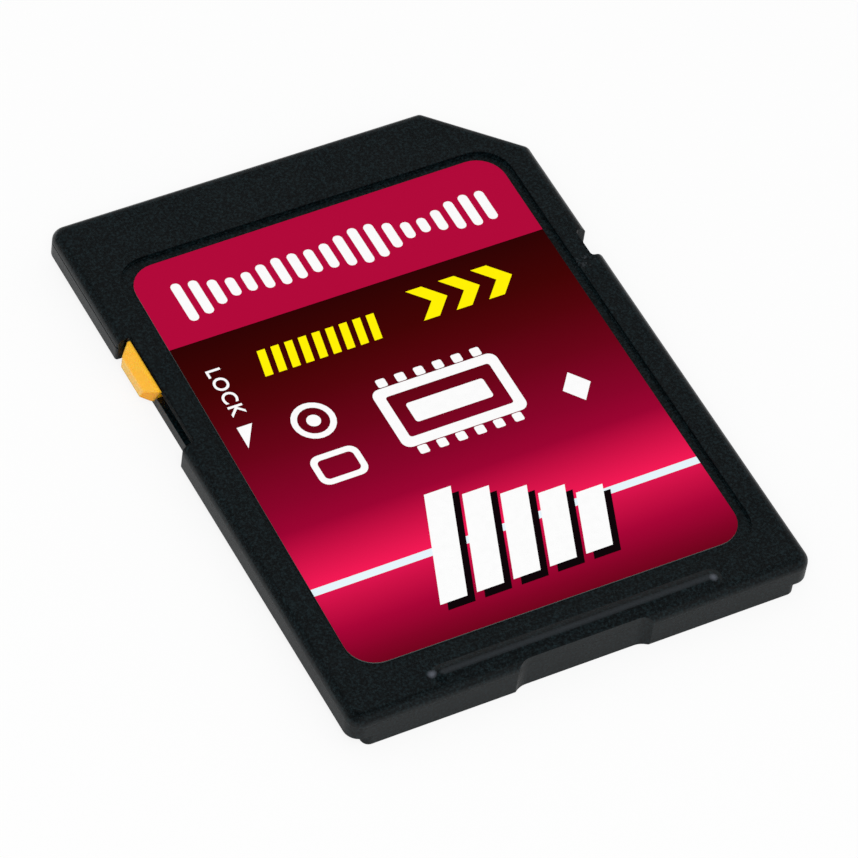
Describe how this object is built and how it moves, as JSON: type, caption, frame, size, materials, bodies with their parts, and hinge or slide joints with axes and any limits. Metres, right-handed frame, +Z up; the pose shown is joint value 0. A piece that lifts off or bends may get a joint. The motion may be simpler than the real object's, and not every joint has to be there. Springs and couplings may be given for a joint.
{
  "type": "memory card",
  "caption": "Flat memory card with a cut corner, flanged sides, a label in a shallow recess, contacts in windows under one end and a sliding write-protect switch.",
  "frame": {"origin": "centre of the card's underside", "axes": "+X to the right seen from the label, +Y to the contact end, +Z up through the label"},
  "size_m": [0.024, 0.032, 0.0022],
  "materials": {
    "shell_plastic": "fine spark-eroded texture",
    "label_film": "satin printed film",
    "board_laminate": "solder mask",
    "slider_plastic": "satin",
    "contact_gold": "gold plated",
    "package_resin": "moulded resin",
    "capacitor_ceramic": "fired ceramic",
    "resistor_ceramic": "glazed ceramic"
  },
  "bodies": {
    "card": {"lower_shell": "shell_plastic", "upper_shell": "shell_plastic", "front_label": "label_film", "circuit_board": "board_laminate", "contact_1": "contact_gold", "contact_2": "contact_gold", "contact_3": "contact_gold", "contact_4": "contact_gold", "contact_5": "contact_gold", "contact_6": "contact_gold", "contact_7": "contact_gold", "contact_8": "contact_gold", "contact_9": "contact_gold", "flash_memory_chip": "package_resin", "controller_chip": "package_resin", "capacitor_1": "capacitor_ceramic", "capacitor_2": "capacitor_ceramic", "capacitor_3": "capacitor_ceramic", "resistor_1": "resistor_ceramic", "resistor_2": "resistor_ceramic", "resistor_3": "resistor_ceramic"},
    "slider": {"write_protect_slider": "slider_plastic"}
  },
  "joints": [
    {"name": "lock_slide", "type": "slide", "parent": "card", "child": "slider", "axis": [0, -1, 0], "range_m": [0, 0.0032]}
  ]
}
